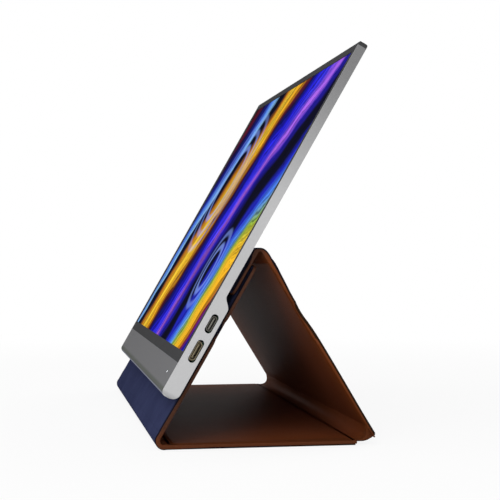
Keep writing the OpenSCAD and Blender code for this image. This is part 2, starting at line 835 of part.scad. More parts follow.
// ---- cover: folds ----
// Each fold is a strip bent around its axis, from one panel's back to the next, with its ends
// turned in by fold_wrap to meet the panels' hollowed ends; angles run from +Y towards +Z
fold_wrap = 35;

module fold_strip(y, z, start, sweep, r0, r1) {
    translate([0, y, z]) rotate([90, 0, 90]) rotate([0, 0, start - fold_wrap])
        rotate_extrude(angle = sweep + 2 * fold_wrap)
            translate([r0, -web_w / 2]) square([r1 - r0, web_w]);
}

module front_fold(r0, r1) fold_strip(-base_pitch / 2, panel_t, 90 + lean, 180 - lean, r0, r1);
module rear_fold(r0, r1) fold_strip(base_pitch / 2, panel_t, -90, prop_dir, r0, r1);
module top_fold(r0, r1) {
    fold_strip(
        -base_pitch / 2 + top_fold_s * cos(lean) - flap_offset * sin(lean),
        panel_t + top_fold_s * sin(lean) + flap_offset * cos(lean),
        prop_dir - 90, 180 + lean - prop_dir, r0, r1
    );
}

module front_fold_leather() color(leather_brown) front_fold(web_drop, lining_z);
module front_fold_lining() color(lining_navy) front_fold(lining_z, panel_t);
module rear_fold_leather() color(leather_brown) rear_fold(web_drop, lining_z);
module rear_fold_lining() color(lining_navy) rear_fold(lining_z, panel_t);
module top_fold_leather() color(leather_brown) top_fold(web_drop, lining_z);
module top_fold_lining() color(lining_navy) top_fold(lining_z, panel_t);

rear_housing();
front_bezel();
chin_panel();
lcd_cell();
optical_films();
light_guide();
reflector_film();
led_bar();
panel_tray();
panel_tapes();
driver_board();
panel_flex();
main_board();
shield_can();
board_screws();
usb_c_socket();
mini_hdmi_socket();
earphone_socket();
status_lens();
key_board();
key_flex();
latch_plates();
power_key();
menu_key();
up_key();
down_key();
base_leather();
base_board();
base_lining();
rest_leather();
rest_lower_board();
rest_upper_board();
rest_lining();
rest_magnets();
prop_leather();
prop_lower_board();
prop_upper_board();
prop_lining();
flap_leather();
flap_board();
flap_lining();
flap_magnets();
front_fold_leather();
front_fold_lining();
rear_fold_leather();
rear_fold_lining();
top_fold_leather();
top_fold_lining();
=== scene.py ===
"""Looks of a slim portable monitor that stands on its folding leather cover."""

import json
import logging
import math
from dataclasses import dataclass, field
from enum import Enum
from typing import Any, Callable, Optional, Sequence, Union

import bmesh
import bpy
from mathutils import Matrix, Vector


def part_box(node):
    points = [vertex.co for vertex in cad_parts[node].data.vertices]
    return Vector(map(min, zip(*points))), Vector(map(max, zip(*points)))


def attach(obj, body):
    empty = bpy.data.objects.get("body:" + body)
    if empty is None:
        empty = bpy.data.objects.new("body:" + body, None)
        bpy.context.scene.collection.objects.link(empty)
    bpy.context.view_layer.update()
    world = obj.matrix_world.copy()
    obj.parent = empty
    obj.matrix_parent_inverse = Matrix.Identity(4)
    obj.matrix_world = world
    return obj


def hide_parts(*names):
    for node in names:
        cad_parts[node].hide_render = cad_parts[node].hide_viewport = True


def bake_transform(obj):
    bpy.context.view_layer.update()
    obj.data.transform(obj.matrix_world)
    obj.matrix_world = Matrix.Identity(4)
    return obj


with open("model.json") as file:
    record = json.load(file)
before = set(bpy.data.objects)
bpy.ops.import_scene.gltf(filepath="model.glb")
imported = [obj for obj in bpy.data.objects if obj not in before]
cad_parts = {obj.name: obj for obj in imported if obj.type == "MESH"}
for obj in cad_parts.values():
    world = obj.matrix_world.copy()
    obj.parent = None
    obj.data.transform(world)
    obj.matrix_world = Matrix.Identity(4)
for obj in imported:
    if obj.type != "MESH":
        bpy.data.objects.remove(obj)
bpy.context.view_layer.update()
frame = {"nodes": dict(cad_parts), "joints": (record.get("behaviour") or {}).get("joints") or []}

log = logging.getLogger("monitor")
MM = 0.001
X = Vector((1.0, 0.0, 0.0))
Y = Vector((0.0, 1.0, 0.0))
Z = Vector((0.0, 0.0, 1.0))
Colour = tuple[float, float, float]
Pair = tuple[float, float]
Profile = tuple[Pair, ...]
# How many steps a pad's corner and a fold's round are drawn in
CORNER_STEPS = 8
ARC_STEPS = 16


# ---- places on the object, read from the frame ----


@dataclass(frozen=True)
class Place:
    """A panel's own frame: y runs along the panel away from its fold, z from its leather to its lining."""

    origin: Vector
    along: Vector
    out: Vector

    @property
    def matrix(self) -> Matrix:
        """The matrix from the panel's frame to the row frame."""
        turn = Matrix((self.along.cross(self.out), self.along, self.out)).transposed()
        return Matrix.Translation(self.origin) @ turn.to_4x4()

    def extent(self, node: str) -> tuple[Vector, Vector]:
        """Measures a CAD node in this frame.

        Args:
            node: The node's name.

        Returns:
            Its lowest and its highest corner.
        """
        back = self.matrix.inverted()
        points = [back @ v.co for v in frame["nodes"][node].data.vertices]
        low = Vector([min(p[i] for p in points) for i in range(3)])
        high = Vector([max(p[i] for p in points) for i in range(3)])
        return low, high


def read(profile: Profile, place: float) -> float:
    """Reads a profile, which stays level beyond its ends.

    Args:
        profile: The places in order, each with its height.
        place: The place to read.

    Returns:
        The height there.
    """
    if place <= profile[0][0]:
        return profile[0][1]
    for (low, first), (high, second) in zip(profile, profile[1:]):
        if place <= high:
            return first + (second - first) * (place - low) / (high - low)
    return profile[-1][1]


def joint(name: str) -> dict[str, Any]:
    """Returns the record's joint of that name."""
    return next(j for j in frame["joints"] if j["name"] == name)


FRONT = Vector(joint("front_fold")["pos_m"])
REAR = Vector(joint("rear_fold")["pos_m"])
TOP = Vector(joint("top_fold")["pos_m"])
FACE = Vector(joint("monitor_lift")["axis"]).normalized()
UP_SCREEN = FACE.cross(X)
UP_PROP = (TOP - REAR).normalized()

BASE = Place(FRONT, (REAR - FRONT).normalized(), Vector((0, 0, -1)))
REST = Place(FRONT, UP_SCREEN, FACE)
PROP = Place(REAR, UP_PROP, UP_PROP.cross(X))
FLAP = Place(TOP, -UP_SCREEN, FACE)
SCREEN_LOW, SCREEN_HIGH = Place(Vector(), UP_SCREEN, FACE).extent("rear_housing")
COVER_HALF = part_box("base_leather")[1][0]
# Where the mouths of the two sockets lie
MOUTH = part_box("usb_c_socket")[1][0]


# ---- modelling ----


def deselect() -> None:
    """Deselects every object, because an operator acts on all that is selected."""
    for obj in bpy.context.selected_objects:
        obj.select_set(False)


def activate(obj: bpy.types.Object) -> None:
    """Makes one object the only selected object and the active one.

    Args:
        obj: The object.
    """
    deselect()
    obj.select_set(True)
    bpy.context.view_layer.objects.active = obj


class Workpiece:
    """A mesh object that is shaped in edit mode and keeps its place in its mesh."""

    def __init__(self, obj: bpy.types.Object, name: str) -> None:
        """Takes over a new object and names it and its mesh.

        Args:
            obj: The object.
            name: The piece's name.
        """
        self.obj = obj
        obj.name = name
        obj.data.name = name

    @classmethod
    def prism(cls, name: str, outline: Sequence[Sequence[float]], depth: Sequence[float]) -> "Workpiece":
        """Adds a solid that is one closed outline, extruded.

        Args:
            name: The piece's name.
            outline: The outline's points in order.
            depth: How far and which way it is extruded.

        Returns:
            The new piece.
        """
        deselect()
        bpy.ops.mesh.primitive_circle_add(vertices=len(outline), fill_type="NGON")
        piece = cls(bpy.context.object, name)
        for vert, point in zip(piece.obj.data.vertices, outline):
            vert.co = point
        with piece.editing():
            bpy.ops.mesh.select_all(action="SELECT")
            bpy.ops.mesh.extrude_region_move(TRANSFORM_OT_translate={"value": tuple(depth)})
            bpy.ops.mesh.select_all(action="SELECT")
            bpy.ops.mesh.normals_make_consistent(inside=False)
        return piece

    def editing(self) -> "EditMode":
        """Returns a context in which the piece is in edit mode."""
        return EditMode(self.obj)

    def select_faces(self, test: Callable[[bmesh.types.BMFace], bool]) -> None:
        """Selects the faces that pass a test, in edit mode.

        Args:
            test: Says whether a face is selected.
        """
        bpy.ops.mesh.select_mode(type="FACE")
        mesh = bmesh.from_edit_mesh(self.obj.data)
        for element in (*mesh.verts, *mesh.edges, *mesh.faces):
            element.select = False
        for face in mesh.faces:
            if test(face):
                face.select_set(True)
        bmesh.update_edit_mesh(self.obj.data)

    def cut(self, direction: Vector, levels: Sequence[float]) -> None:
        """Cuts the whole piece, in edit mode, by planes across a direction.

        Args:
            direction: The unit vector that the planes lie across.
            levels: How far along it each plane lies.
        """
        for level in levels:
            bpy.ops.mesh.select_all(action="SELECT")
            bpy.ops.mesh.bisect(plane_co=direction * level, plane_no=direction)

    def modify(self, kind: str, **settings: Any) -> None:
        """Adds a modifier and applies it.

        Args:
            kind: The modifier's type.
            **settings: Its settings by name.
        """
        activate(self.obj)
        modifier = self.obj.modifiers.new(kind.title(), kind)
        for key, value in settings.items():
            setattr(modifier, key, value)
        bpy.ops.object.modifier_apply(modifier=modifier.name)

    def soften(self, width: float, segments: int, angle: float) -> None:
        """Rounds every edge sharper than an angle.

        Args:
            width: How wide the rounding is.
            segments: How many faces it has across.
            angle: The angle in degrees.
        """
        self.modify(
            "BEVEL", width=width, segments=segments, limit_method="ANGLE",
            angle_limit=math.radians(angle), use_clamp_overlap=True,
        )

    def smooth(self, angle: float) -> None:
        """Shades the piece smooth across edges flatter than angle, in degrees."""
        activate(self.obj)
        bpy.ops.object.shade_smooth_by_angle(angle=math.radians(angle))

    def place(self, place: Place) -> None:
        """Moves the mesh from a panel's frame to the row frame."""
        self.obj.data.transform(place.matrix)
        self.obj.data.update()

    def dress(self, material: bpy.types.Material) -> None:
        """Gives the whole piece one material."""
        self.obj.data.materials.clear()
        self.obj.data.materials.append(material)


class EditMode:
    """A context that holds an object in edit mode."""

    def __init__(self, obj: bpy.types.Object) -> None:
        """Keeps the object for when the context is entered."""
        self.obj = obj

    def __enter__(self) -> None:
        """Selects the object and enters edit mode."""
        activate(self.obj)
        bpy.ops.object.mode_set(mode="EDIT")

    def __exit__(self, *_: Any) -> None:
        """Leaves edit mode."""
        bpy.ops.object.mode_set(mode="OBJECT")


# ---- shader graphs ----


Number = Union["Value", float]


class Value:
    """A socket in a shader graph, on which Python's operators add Math nodes."""

    def __init__(self, graph: "Graph", socket: bpy.types.NodeSocket) -> None:
        """Wraps an output socket of the graph."""
        self.graph = graph
        self.socket = socket

    def _math(self, operation: str, *inputs: Number) -> "Value":
        """Adds a Math node over these inputs."""
        return self.graph.node("ShaderNodeMath", {"operation": operation}, dict(enumerate(inputs)))

    def __add__(self, other: Number) -> "Value":
        """Adds."""
        return self._math("ADD", self, other)

    __radd__ = __add__

    def __mul__(self, other: Number) -> "Value":
        """Multiplies."""
        return self._math("MULTIPLY", self, other)

    __rmul__ = __mul__

    def __sub__(self, other: Number) -> "Value":
        """Subtracts other from this value."""
        return self._math("SUBTRACT", self, other)

    def __rsub__(self, other: Number) -> "Value":
        """Subtracts this value from other."""
        return self._math("SUBTRACT", other, self)

    def __truediv__(self, other: Number) -> "Value":
        """Divides."""
        return self._math("DIVIDE", self, other)

    def __pow__(self, other: Number) -> "Value":
        """Raises to a power."""
        return self._math("POWER", self, other)

    def __abs__(self) -> "Value":
        """Takes the size without the sign."""
        return self._math("ABSOLUTE", self)

    def wrap(self) -> "Value":
        """Keeps the part after the decimal point."""
        return self._math("FRACT", self)

    def most(self, other: Number) -> "Value":
        """Takes the larger of two values."""
        return self._math("MAXIMUM", self, other)

    def ramp(self, low: float, high: float) -> "Value":
        """Runs smoothly from 0 to 1.

        Args:
            low: The value at which it leaves 0.
            high: The value at which it reaches 1.

        Returns:
            The ramp's value.
        """
        return self.graph.node(
            "ShaderNodeMapRange", {"interpolation_type": "SMOOTHSTEP"},
            {"Value": self, "From Min": low, "From Max": high},
        )


Input = Union[Value, float, Sequence[float]]


class Graph:
    """The node tree of a material or a world, with its shader."""

    def __init__(self, owner: Union[bpy.types.Material, bpy.types.World]) -> None:
        """Turns the owner's nodes on and finds its shader.

        Args:
            owner: The material or the world.
        """
        owner.use_nodes = True
        self.nodes = owner.node_tree.nodes
        self.links = owner.node_tree.links
        self.shader = self.nodes.get("Principled BSDF") or self.nodes["Background"]

    def fill(self, socket: bpy.types.NodeSocket, value: Input) -> None:
        """Links a value to a socket, or sets it on the socket itself.

        Args:
            socket: The input socket.
            value: A graph's value, a number or a colour.
        """
        if isinstance(value, Value):
            self.links.new(value.socket, socket)
        elif socket.type == "RGBA":
            socket.default_value = (*value[:3], 1.0)
        else:
            socket.default_value = value

    def node(
        self, kind: str, settings: Optional[dict[str, Any]] = None,
        inputs: Optional[dict[Union[str, int], Input]] = None, output: Union[str, int] = 0,
    ) -> Value:
        """Adds a node.

        Args:
            kind: The node's type.
            settings: Its own settings, set before its sockets. A ramp's stops go under "stops".
            inputs: The values or links of its sockets, by name or number.
            output: The output that is returned.

        Returns:
            The chosen output as a value.
        """
        made = self.nodes.new(kind)
        for key, value in (settings or {}).items():
            if key == "stops":
                self._stops(made.color_ramp, value)
            else:
                setattr(made, key, value)
        for key, value in (inputs or {}).items():
            self.fill(made.inputs[key], value)
        return Value(self, made.outputs[output])

    @staticmethod
    def _stops(ramp: bpy.types.ColorRamp, stops: Sequence[tuple[float, Colour]]) -> None:
        """Sets a colour ramp's stops.

        Args:
            ramp: The colour ramp.
            stops: Each stop's place from 0 to 1 and its colour.
        """
        while len(ramp.elements) < len(stops):
            ramp.elements.new(1.0)
        for element, (position, colour) in zip(ramp.elements, stops):
            element.position = position
            element.color = (*colour, 1.0)

    def mix(self, factor: Input, a: Input, b: Input, blend: str = "MIX") -> Value:
        """Mixes two colours.

        Args:
            factor: How much of b.
            a: The first colour.
            b: The second colour.
            blend: How they are mixed.

        Returns:
            The mixed colour.
        """
        settings = {"data_type": "RGBA", "blend_type": blend}
        return self.node("ShaderNodeMix", settings, {0: factor, 6: a, 7: b}, output=2)

    def position(self) -> Value:
        """Returns the place on the object."""
        return self.node("ShaderNodeTexCoord", output="Object")

    def along(self, place: Value, direction: Vector) -> Value:
        """Returns how far a place lies along a direction."""
        settings = {"operation": "DOT_PRODUCT"}
        return self.node("ShaderNodeVectorMath", settings, {0: place, 1: tuple(direction)}, "Value")

    def noise(self, place: Value, scale: float, detail: float = 2.0, roughness: float = 0.5) -> Value:
        """Returns a noise pattern with that many lumps per metre."""
        inputs = {"Vector": place, "Scale": scale, "Detail": detail, "Roughness": roughness}
        return self.node("ShaderNodeTexNoise", None, inputs)

    def cells(self, place: Value, scale: float, feature: str = "F1") -> Value:
        """Returns the distance in a pattern of cells, with that many cells per metre."""
        return self.node("ShaderNodeTexVoronoi", {"feature": feature}, {"Vector": place, "Scale": scale})

    def bump(self, height: Value, depth: float, strength: float) -> None:
        """Raises the surface by a height pattern of that depth in metres."""
        inputs = {"Strength": strength, "Distance": depth, "Height": height}
        self.set("Normal", self.node("ShaderNodeBump", None, inputs))

    def seen(self) -> Value:
        """Tells the rays that show the surface to the eye, also in a gloss or through a lens.

        Returns:
            1 for such a ray and 0 for any other.
        """
        path = self.node("ShaderNodeLightPath", output="Is Camera Ray")
        for other in ("Is Glossy Ray", "Is Transmission Ray"):
            path = path.most(self.node("ShaderNodeLightPath", output=other))
        return path

    def tint(self, tone: Input, shade: Input) -> None:
        """Gives the shader a tone times a shade."""
        self.set("Base Color", self.mix(1.0, tone, shade, "MULTIPLY"))

    def set(self, name: str, value: Input) -> None:
        """Fills a socket of the shader."""
        self.fill(self.shader.inputs[name], value)


# ---- finishes ----


class Finish:
    """A finish that is built once and shared by every piece of its material slot."""

    def build(self, name: str) -> bpy.types.Material:
        """Builds the material.

        Args:
            name: Its slot's name.

        Returns:
            The material.
        """
        material = bpy.data.materials.new(name)
        graph = Graph(material)
        self.paint(graph, graph.position())
        return material

    def paint(self, graph: Graph, place: Value) -> None:
        """Fills the material's shader from the place on the object."""
        raise NotImplementedError


@dataclass(frozen=True)
class Leather(Finish):
    """Smooth brown leather, with painted light that makes it redder towards its side edges and painted shade
    that darkens the rest panel's.

    Attributes:
        body: Its tone on the panels.
        warm: Its tone towards the side edges, painted light that stands in for the light falling in through
            the cover's open ends.
        low_edge_shade_and_worn_coat: The painted shade on the edges that lie near the table.
        prop_edge_light: The painted light on the prop panel's edges.
        rest_edge_shade: The painted shade on the rest panel's edges, under the monitor.
        grain: How many pores there are to a metre.
        depth: How deep its grain is.
        gloss: How much of a coat it has.
    """

    body: Colour = (0.175, 0.050, 0.0210)
    warm: Colour = (0.128, 0.033, 0.0100)
    low_edge_shade_and_worn_coat: Colour = (0.086, 0.025, 0.0090)
    prop_edge_light: Colour = (0.128, 0.033, 0.0085)
    rest_edge_shade: Colour = (0.050, 0.022, 0.0140)
    grain: float = 950.0
    depth: float = 0.05 * MM
    gloss: float = 0.08

    def paint(self, graph: Graph, place: Value) -> None:
        """Fills the shader.

        Args:
            graph: The material's node tree.
            place: The place on the object.
        """
        cloud = graph.noise(place, 22.0, 3.0)
        fine = graph.noise(place, 2600.0, 2.0)
        pores = graph.cells(place, self.grain, "DISTANCE_TO_EDGE")
        depth = COVER_HALF - abs(graph.along(place, X)) + (cloud - 0.5) * 6.0 * MM
        # Painted light: the tone changes from body to warm towards the side edges, where light falls in
        # through the cover's open ends
        tone = graph.mix(1 - depth.ramp(0.0, 62.0 * MM), self.body, self.warm)
        # Painted light and shade along the side edges: light on the prop panel's, shade on the rest panel's
        # and a darker painted shade near the table
        edge = graph.mix(graph.along(place, Y).ramp(-4.0 * MM, 2.0 * MM), self.rest_edge_shade, self.prop_edge_light)
        edge = graph.mix(graph.along(place, Z).ramp(5.0 * MM, 14.0 * MM), self.low_edge_shade_and_worn_coat, edge)
        tone = graph.mix((1 - depth.ramp(2.0 * MM, 15.0 * MM)) * 0.85, tone, edge)
        shade = 0.82 + cloud * 0.24 + pores.ramp(0.0, 0.12) * 0.10
        graph.tint(tone, shade)
        graph.set("Roughness", 0.52 + fine * 0.14 + (1 - pores.ramp(0.0, 0.2)) * 0.1)
        graph.set("Specular IOR Level", 0.001)
        # The coat is thinner inside the rear fold
        behind = graph.along(place, Y).ramp(48.0 * MM, 55.0 * MM)
        low_edge_shade_and_worn_coat = behind * (1 - graph.along(place, Z).ramp(11.0 * MM, 18.0 * MM))
        graph.set("Coat Weight", (self.gloss + pores.ramp(0.0, 0.2) * 0.05) * (1 - low_edge_shade_and_worn_coat * 0.6))
        graph.set("Coat Roughness", 0.4)
        graph.bump(pores.ramp(0.0, 0.22) + fine * 0.35, self.depth, 0.5)


@dataclass(frozen=True)
class Lining(Finish):
    """Navy microfibre with a short nap, with painted shade that makes it nearly black at its side edges and
    browner at the prop's.

    Attributes:
        nap: The tone of its nap.
        shadow: Its tone where the nap is stroked the other way.
        edge: The painted shade on its side edges.
        turned: The painted shade on the prop panel's edges, browner and lighter.
        rim: From how far to how far inside the side edge the painted shade fades.
    """

    nap: Colour = (0.034, 0.040, 0.092)
    shadow: Colour = (0.028, 0.033, 0.078)
    edge: Colour = (0.009, 0.008, 0.014)
    turned: Colour = (0.024, 0.011, 0.006)
    rim: Pair = (1.5 * MM, 4.5 * MM)

    def paint(self, graph: Graph, place: Value) -> None:
        """Fills the shader.

        Args:
            graph: The material's node tree.
            place: The place on the object.
        """
        fibre = graph.noise(place, 3400.0, 3.0, 0.7)
        stroke = graph.noise(place, 38.0, 3.0, 0.6)
        colour = graph.mix(stroke.ramp(0.32, 0.7), self.shadow, self.nap)
        # Painted shade: the side edges darken to nearly black, and to brown on the prop panel
        prop = graph.along(place, Y).ramp(0.0, 20.0 * MM)
        depth = (COVER_HALF - abs(graph.along(place, X))) / (1 + prop * 1.6)
        colour = graph.mix(depth.ramp(*self.rim), graph.mix(prop, self.edge, self.turned), colour)
        graph.tint(colour, 0.75 + fibre * 0.5)
        graph.set("Roughness", 0.9)
        graph.set("Specular IOR Level", 0.0)
        graph.bump(fibre + stroke * 0.4, 0.06 * MM, 0.6)


@dataclass(frozen=True)
class BlastedAluminium(Finish):
    """Fine blasted and anodised aluminium, with painted shade that makes its side rails deeper in tone up the
    screen.

    Attributes:
        low: Its tone, and the rails' tone at their lower end.
        high: The rails' tone at their upper end, as painted shade.
        change: Between which distances up the screen the rails' painted shade grows.
        rail: From how far to how far inside the side the rails' painted shade fades.
    """

    low: Colour = (0.445, 0.445, 0.450)
    high: Colour = (0.202, 0.202, 0.205)
    change: Pair = (0.11, 0.22)
    rail: Pair = (2.0 * MM, 9.0 * MM)

    def paint(self, graph: Graph, place: Value) -> None:
        """Fills the shader.

        Args:
            graph: The material's node tree.
            place: The place on the object.
        """
        blast = graph.noise(place, 1500.0, 3.0, 0.7)
        cloud = graph.noise(place, 26.0, 2.0)
        up = graph.along(place, UP_SCREEN) - SCREEN_LOW.y
        rail = 1 - (SCREEN_HIGH.x - abs(graph.along(place, X))).ramp(*self.rail)
        # Painted shade: the rails grow darker up the screen
        tone = graph.mix(up.ramp(*self.change) * rail, self.low, self.high)
        shade = 0.86 + cloud * 0.10 + blast * 0.18
        graph.tint(tone, shade)
        graph.set("Metallic", 0.9)
        graph.set("Roughness", 0.36 + blast * 0.12)
        graph.bump(blast, 0.012 * MM, 0.5)


@dataclass(frozen=True)
class Enamel(Finish):
    """Painted metal or moulded plastic with a fine satin texture."""

    base: Colour
    roughness: float = 0.42
    texture: float = 3200.0
    metallic: float = 0.0
    specular: float = 0.5

    def paint(self, graph: Graph, place: Value) -> None:
        """Fills the shader.

        Args:
            graph: The material's node tree.
            place: The place on the object.
        """
        fine = graph.noise(place, self.texture, 2.0, 0.6)
        cloud = graph.noise(place, 30.0, 2.0)
        graph.tint(self.base, 0.9 + cloud * 0.12 + fine * 0.08)
        graph.set("Metallic", self.metallic)
        graph.set("Specular IOR Level", self.specular)
        graph.set("Roughness", self.roughness - 0.05 + fine * 0.1)
        graph.bump(fine, 0.012 * MM, 0.4)


@dataclass(frozen=True)
class ChinPaint(Finish):
    """The grey chin, darker towards its bottom end, with a pale lower edge and two bare corners.

    Attributes:
        base: Its tone.
        low: Its tone towards the bottom end.
        edge: The tone of its lower edge.
        bare: The metal of its two corners.
    """

    base: Colour = (0.160, 0.160, 0.165)
    low: Colour = (0.112, 0.118, 0.108)
    edge: Colour = (0.225, 0.235, 0.290)
    bare: Colour = (0.56, 0.56, 0.57)

    def paint(self, graph: Graph, place: Value) -> None:
        """Fills the shader.

        Args:
            graph: The material's node tree.
            place: The place on the object.
        """
        up = graph.along(place, UP_SCREEN) - SCREEN_LOW.y
        end = SCREEN_HIGH.x - abs(graph.along(place, X))
        fine = graph.noise(place, 3600.0, 2.0, 0.6)
        colour = graph.mix(up.ramp(3.2 * MM, 5.2 * MM), self.low, self.base)
        colour = graph.mix(up.ramp(1.1 * MM, 1.7 * MM), self.edge, colour)
        colour = graph.mix(1.0, colour, 0.94 + fine * 0.12, "MULTIPLY")
        corner = (1 - end.ramp(3.4 * MM, 3.7 * MM)) * (1 - up.ramp(0.8 * MM, 1.1 * MM))
        graph.set("Base Color", graph.mix(corner, colour, self.bare))
        graph.set("Metallic", corner)
        graph.set("Specular IOR Level", 0.0)
        graph.set("Roughness", 0.4 + fine * 0.1)
        graph.bump(fine, 0.01 * MM, 0.4)


@dataclass(frozen=True)
class Picture(Finish):
    """The lit screen, with bands of colour round a far centre and rings that spread like ripples.

    Attributes:
        stops: The colours across the bands.
        rings: The place across and up the screen, the radius and the weight of each ring.
        centre: How far across and below the screen the point lies that the bands sweep round.
        ripple: The rings' colour.
        night: The colour of the dark patches.
    """

    stops: tuple[tuple[float, Colour], ...] = (
        (0.000, (0.002, 0.002, 0.008)), (0.035, (0.150, 0.006, 0.016)), (0.070, (0.006, 0.006, 0.060)),
        (0.120, (0.010, 0.014, 0.300)), (0.160, (0.080, 0.220, 0.820)), (0.195, (0.270, 0.560, 0.950)),
        (0.215, (0.002, 0.002, 0.008)), (0.262, (0.002, 0.003, 0.020)), (0.300, (0.560, 0.190, 0.010)),
        (0.345, (0.920, 0.600, 0.040)), (0.395, (0.820, 0.360, 0.012)), (0.425, (0.110, 0.008, 0.010)),
        (0.450, (0.004, 0.004, 0.060)), (0.495, (0.014, 0.012, 0.640)), (0.540, (0.055, 0.045, 0.930)),
        (0.570, (0.420, 0.130, 0.760)), (0.600, (0.020, 0.014, 0.460)), (0.645, (0.002, 0.002, 0.010)),
        (0.695, (0.003, 0.003, 0.020)), (0.735, (0.020, 0.030, 0.700)), (0.780, (0.090, 0.280, 0.900)),
        (0.802, (0.300, 0.520, 0.060)), (0.830, (0.900, 0.560, 0.030)), (0.875, (0.880, 0.400, 0.012)),
        (0.905, (0.200, 0.012, 0.020)), (0.935, (0.012, 0.010, 0.330)), (0.970, (0.030, 0.024, 0.820)),
        (1.000, (0.002, 0.002, 0.008)),
    )
    rings: tuple[tuple[float, float, float, float], ...] = (
        (-0.085, 0.148, 0.030, 0.55), (-0.085, 0.148, 0.043, 0.42), (-0.085, 0.148, 0.056, 0.30),
        (0.082, 0.078, 0.016, 0.60), (0.082, 0.078, 0.026, 0.42),
    )
    centre: Pair = (0.40, 0.10)
    ripple: Colour = (0.24, 0.36, 0.97)
    night: Colour = (0.003, 0.003, 0.02)

    def paint(self, graph: Graph, place: Value) -> None:
        """Fills the shader.

        Args:
            graph: The material's node tree.
            place: The place on the object.
        """
        across = graph.along(place, X)
        up = graph.along(place, UP_SCREEN) - SCREEN_LOW.y
        flat = graph.node("ShaderNodeCombineXYZ", None, {"X": across, "Y": up, "Z": 0.0})
        drift = graph.noise(flat, 8.0, 3.0, 0.55) - 0.5
        curl = graph.noise(flat, 34.0, 4.0, 0.65) - 0.5
        side, below = self.centre
        reach = ((across - side) ** 2 + (up + below) ** 2) ** 0.5
        lane = (0.66 - reach) / 0.42 + drift * 0.16 + curl * 0.035
        bands = graph.node("ShaderNodeValToRGB", {"stops": self.stops}, {"Fac": lane.wrap()})
        strand = graph.node("ShaderNodeCombineXYZ", None, {"X": lane * 120.0, "Y": up * 7.0, "Z": 3.0})
        streak = graph.noise(strand, 1.0, 4.0, 0.7)
        broad = graph.node("ShaderNodeCombineXYZ", None, {"X": lane * 26.0, "Y": up * 5.0, "Z": 8.0})
        colour = graph.mix(1.0, bands, 0.20 + streak.ramp(0.30, 0.66) * 1.05, "MULTIPLY")
        dark = graph.noise(broad, 1.0, 3.0, 0.6).ramp(0.60, 0.72) * 0.9
        colour = graph.mix(dark, colour, self.night)
        ring: Value = across * 0.0
        for x, y, radius, weight in self.rings:
            gap = abs(((across - x) ** 2 + (up - y) ** 2) ** 0.5 - radius)
            ring = ring + (1 - gap.ramp(0.0008, 0.0042)) * weight
        colour = graph.mix(ring, colour, self.ripple)
        graph.set("Base Color", (0.004, 0.004, 0.005))
        graph.set("Roughness", 0.3)
        graph.set("Specular IOR Level", 0.0)
        graph.set("Emission Color", colour)
        graph.set("Emission Strength", 1.0)


@dataclass(frozen=True)
class Circuit(Finish):
    """A green circuit board with fine tracks."""

    mask: Colour = (0.010, 0.085, 0.035)
    track: Colour = (0.035, 0.190, 0.080)

    def paint(self, graph: Graph, place: Value) -> None:
        """Fills the shader.

        Args:
            graph: The material's node tree.
            place: The place on the object.
        """
        inputs = {"Vector": place, "Scale": 260.0, "Mortar Size": 0.03}
        tracks = graph.node("ShaderNodeTexBrick", {"offset": 0.35}, inputs, "Fac")
        graph.set("Base Color", graph.mix(tracks, self.mask, self.track))
        graph.set("Roughness", 0.4)
        graph.bump(tracks, 0.03 * MM, 0.5)


@dataclass(frozen=True)
class BrushedSteel(Finish):
    """Bright plated steel with drawn lines."""

    base: Colour = (0.62, 0.60, 0.56)
    roughness: float = 0.28

    def paint(self, graph: Graph, place: Value) -> None:
        """Fills the shader.

        Args:
            graph: The material's node tree.
            place: The place on the object.
        """
        stretch = {"Vector": place, "Scale": (1.0, 14.0, 14.0)}
        drawn = graph.node("ShaderNodeMapping", None, stretch)
        lines = graph.noise(drawn, 420.0, 3.0, 0.7)
        graph.tint(self.base, 0.86 + lines * 0.2)
        graph.set("Metallic", 1.0)
        graph.set("Roughness", self.roughness - 0.06 + lines * 0.14)
        graph.bump(lines, 0.008 * MM, 0.4)


@dataclass(frozen=True)
class SocketShell(Finish):
    """A drawn metal socket shell, whose tone changes from its mouth inwards as painted light and shade in its
    recess.
    """

    rim: Colour
    inner: Colour

    def paint(self, graph: Graph, place: Value) -> None:
        """Fills the shader.

        Args:
            graph: The material's node tree.
            place: The place on the object.
        """
        lines = graph.noise(place, 900.0, 3.0, 0.7)
        # Painted light and shade: the tone changes with depth behind the socket's mouth
        deep = (MOUTH - graph.along(place, X)).ramp(0.05 * MM, 1.6 * MM)
        tone = graph.mix(deep, self.rim, self.inner)
        graph.tint(tone, 0.8 + lines * 0.3)
        graph.set("Metallic", 0.6)
        graph.set("Roughness", 0.3 + lines * 0.14)
        graph.bump(lines, 0.008 * MM, 0.4)


@dataclass(frozen=True)
class Fibre(Finish):
    """Pressed fibreboard with short flakes."""

    base: Colour = (0.20, 0.15, 0.10)
    flake: Colour = (0.29, 0.23, 0.16)

    def paint(self, graph: Graph, place: Value) -> None:
        """Fills the shader.

        Args:
            graph: The material's node tree.
            place: The place on the object.
        """
        flakes = graph.cells(place, 700.0)
        graph.set("Base Color", graph.mix(flakes.ramp(0.1, 0.7), self.base, self.flake))
        graph.set("Roughness", 0.85)
        graph.bump(flakes, 0.04 * MM, 0.6)


@dataclass(frozen=True)
class Lamp(Finish):
    """The clear lens of a small white lamp that is on."""

    clear: Colour = (0.8, 0.82, 0.85)
    milky: Colour = (0.9, 0.92, 0.95)
    glow: Colour = (0.9, 0.94, 1.0)

    def paint(self, graph: Graph, place: Value) -> None:
        """Fills the shader.

        Args:
            graph: The material's node tree.
            place: The place on the object.
        """
        fine = graph.noise(place, 1800.0)
        graph.set("Base Color", graph.mix(fine, self.clear, self.milky))
        graph.set("Roughness", 0.3)
        graph.set("Emission Color", self.glow)
        graph.set("Emission Strength", 1.6)


